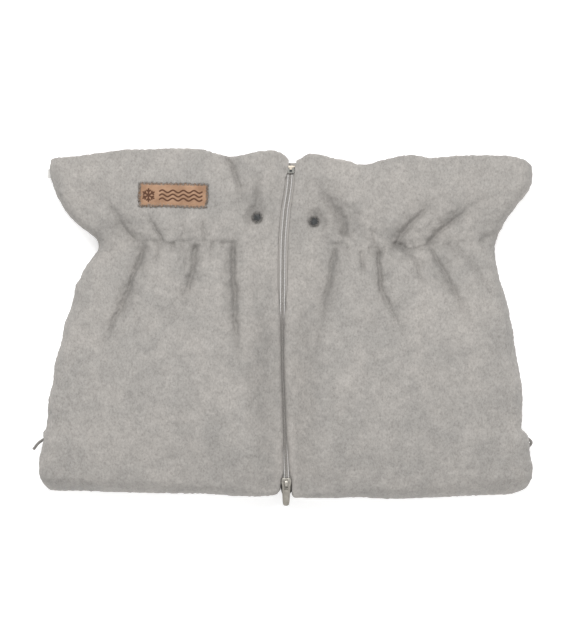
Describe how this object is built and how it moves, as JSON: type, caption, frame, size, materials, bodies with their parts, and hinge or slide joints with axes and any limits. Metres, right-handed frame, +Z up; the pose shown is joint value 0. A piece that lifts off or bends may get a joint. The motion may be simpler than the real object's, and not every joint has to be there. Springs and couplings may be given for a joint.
{
  "type": "hand warmer muff",
  "caption": "Fleece pram hand muff lying flat: paired gathered mitts with pile lining, joined by a separable centre zip, with press studs and handlebar slits.",
  "frame": {"origin": "bottom centre of the muff's bounding box, on the surface it lies on", "axes": "+Z up, from the back panels to the front panels; +Y along the zip towards the ruffled hand openings; +X towards the right mitt as seen from the front"},
  "size_m": [0.5012, 0.356, 0.0586],
  "materials": {
    "fleece": "thick short-pile wool fleece, mottled light grey",
    "sherpa": "long curly wool pile, cream",
    "tape": "fine herringbone woven zip tape, light grey",
    "coil": "satin nylon coil, light grey",
    "elastic": "woven elastic, white",
    "cord": "braided elastic cord, grey",
    "nickel": "satin nickel plate",
    "gunmetal": "dark gunmetal lacquer",
    "pull": "satin warm grey lacquer",
    "leather": "tan vegetable leather, debossed border and plain motif",
    "label": "white woven satin, blank"
  },
  "bodies": {
    "left_mitt": {"left_front_shell": "fleece", "left_front_lining": "sherpa", "left_front_elastic": "elastic", "left_back_shell": "fleece", "left_back_lining": "sherpa", "left_back_elastic": "elastic", "left_zip_tape": "tape", "left_zip_coil": "coil", "left_zip_stop": "nickel", "left_snap_stud": "gunmetal", "left_snap_post": "gunmetal", "left_side_cord": "cord", "zip_retainer_box": "nickel", "brand_patch": "leather", "care_label": "label"},
    "right_mitt": {"right_front_shell": "fleece", "right_front_lining": "sherpa", "right_front_elastic": "elastic", "right_back_shell": "fleece", "right_back_lining": "sherpa", "right_back_elastic": "elastic", "right_zip_tape": "tape", "right_zip_coil": "coil", "right_zip_stop": "nickel", "right_snap_stud": "gunmetal", "right_snap_post": "gunmetal", "right_side_cord": "cord", "zip_insertion_pin": "nickel"},
    "slider": {"zip_slider_body": "nickel", "zip_slider_bail": "nickel"},
    "pull": {"zip_pull_tab": "pull"},
    "left_snap": {"left_snap_patch": "fleece", "left_snap_cap": "gunmetal", "left_snap_socket": "gunmetal"},
    "right_snap": {"right_snap_patch": "fleece", "right_snap_cap": "gunmetal", "right_snap_socket": "gunmetal"}
  },
  "joints": [
    {"name": "zip_travel", "type": "slide", "parent": "left_mitt", "child": "slider", "axis": [0.0122, 0.9999, 0], "range_m": [0, 0.3]},
    {"name": "mitt_parting", "type": "hinge", "parent": "left_mitt", "child": "right_mitt", "pos_m": [0.0058, 0.15547, 0.026], "axis": [0, 0, 1], "range_deg": [0, 20]},
    {"name": "pull_swing", "type": "hinge", "parent": "slider", "child": "pull", "pos_m": [0.00029, -0.15599, 0.03185], "axis": [-0.9999, 0.0122, 0], "range_deg": [0, 150]},
    {"name": "left_snap_lift", "type": "slide", "parent": "left_mitt", "child": "left_snap", "axis": [0, 0, 1], "range_m": [0, 0.012]},
    {"name": "right_snap_lift", "type": "slide", "parent": "right_mitt", "child": "right_snap", "axis": [0, 0, 1], "range_m": [0, 0.012]}
  ],
  "couplings": [
    {"joint": "mitt_parting", "follows": "zip_travel", "rad_per_m": 1.1636}
  ]
}
